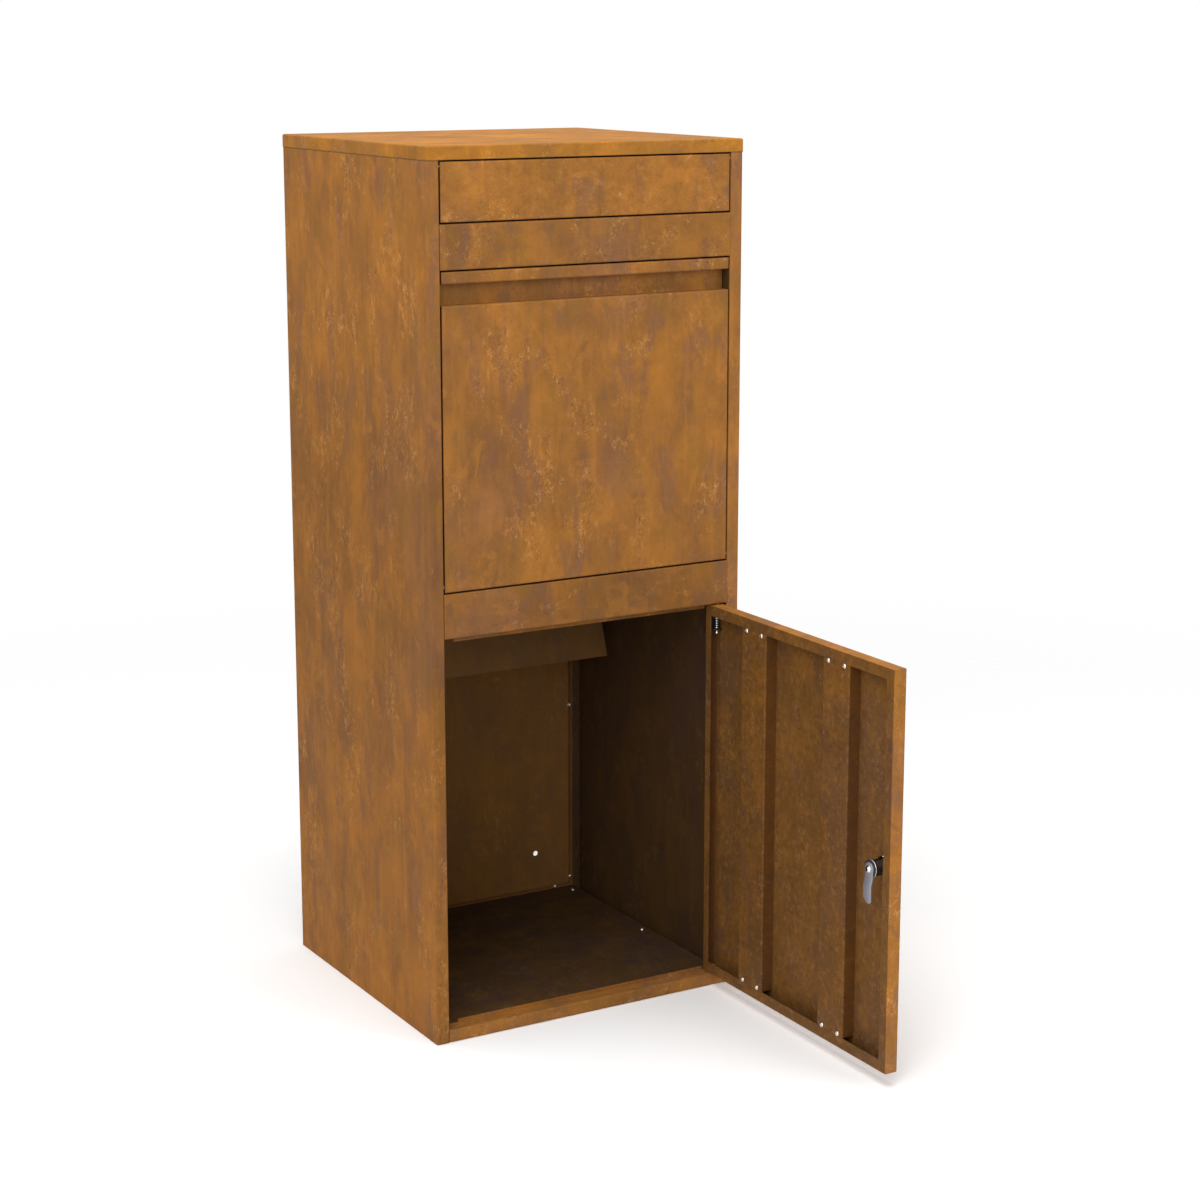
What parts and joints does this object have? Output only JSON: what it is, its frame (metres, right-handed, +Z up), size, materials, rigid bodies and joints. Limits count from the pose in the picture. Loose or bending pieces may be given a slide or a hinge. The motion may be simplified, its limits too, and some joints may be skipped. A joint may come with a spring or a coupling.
{
  "type": "rusty mailbox",
  "caption": "Free-standing parcel and letter box in weathered sheet steel, with a letter flap, a tip-out parcel door and hopper, and a locking lower collection door standing open",
  "frame": {"origin": "on the flat underside of the base rail, at floor level, midway across the box and 10 mm behind its front face", "axes": "+X to the right seen from the front, +Y from the front to the back, +Z up"},
  "size_m": [0.41, 0.745, 1.03],
  "materials": {
    "rusted_top": "even orange-brown rust on sheet steel",
    "rusted_shell": "streaked brown rust on sheet steel",
    "rusted_fronts": "streaked brown rust on sheet steel",
    "rusted_door": "fine-grained brown rust on sheet steel",
    "rusted_inside": "dark brown rust on sheet steel",
    "bright_fixings": "bright zinc",
    "bright_lock": "bright chrome",
    "black_bracket": "black paint",
    "dark_steel": "dull dark steel"
  },
  "bodies": {
    "cabinet": {"top_cap": "rusted_top", "left_side_panel": "rusted_shell", "right_side_panel": "rusted_shell", "back_panel": "rusted_shell", "floor_panel": "rusted_inside", "base_rail": "rusted_shell", "lower_rail": "rusted_shell", "upper_rail": "rusted_shell", "baffle": "rusted_inside", "baffle_rivets": "bright_fixings", "back_screws": "bright_fixings", "floor_screws": "bright_fixings", "rail_screws": "bright_fixings", "cap_screws": "bright_fixings", "flap_pins": "dark_steel", "drop_door_pins": "dark_steel", "lower_hinge_pin": "bright_fixings", "hinge_washer": "dark_steel"},
    "letter_flap": {"letter_flap": "rusted_fronts"},
    "drop_door": {"drop_door": "rusted_fronts", "left_gusset": "rusted_inside", "right_gusset": "rusted_inside", "drop_tray": "rusted_inside", "hopper_rivets": "bright_fixings"},
    "door": {"door_panel": "rusted_door", "hinge_side_stiffener": "rusted_door", "lock_side_stiffener": "rusted_door", "stiffener_rivets": "bright_fixings", "upper_pin_bracket": "black_bracket", "lock_body": "bright_lock", "lock_nut": "bright_fixings", "cam_stop_washer": "dark_steel", "pin_spring": "bright_fixings"},
    "top_pin": {"upper_hinge_pin": "bright_lock"},
    "lock_cam": {"lock_plug": "bright_lock", "lock_cam": "bright_fixings", "cam_screw": "bright_fixings"}
  },
  "joints": [
    {"name": "door_hinge", "type": "hinge", "parent": "cabinet", "child": "door", "pos_m": [0.1795, -0.0035, 0.25], "axis": [0, 0, 1], "range_deg": [-90, 18]},
    {"name": "drop_door_hinge", "type": "hinge", "parent": "cabinet", "child": "drop_door", "pos_m": [0, -0.0055, 0.541], "axis": [1, 0, 0], "range_deg": [0, 45]},
    {"name": "letter_flap_hinge", "type": "hinge", "parent": "cabinet", "child": "letter_flap", "pos_m": [0, -0.0068, 1.008], "axis": [1, 0, 0], "range_deg": [0, 60]},
    {"name": "pin_slide", "type": "slide", "parent": "door", "child": "top_pin", "axis": [0, 0, 1], "range_m": [-0.006, 0], "stiffness_N_per_m": 500, "springref_m": 0.006, "deforming": ["pin_spring"]},
    {"name": "cam_turn", "type": "hinge", "parent": "door", "child": "lock_cam", "pos_m": [0.16, -0.34, 0.248], "axis": [1, 0, 0], "range_deg": [-90, 0]}
  ]
}
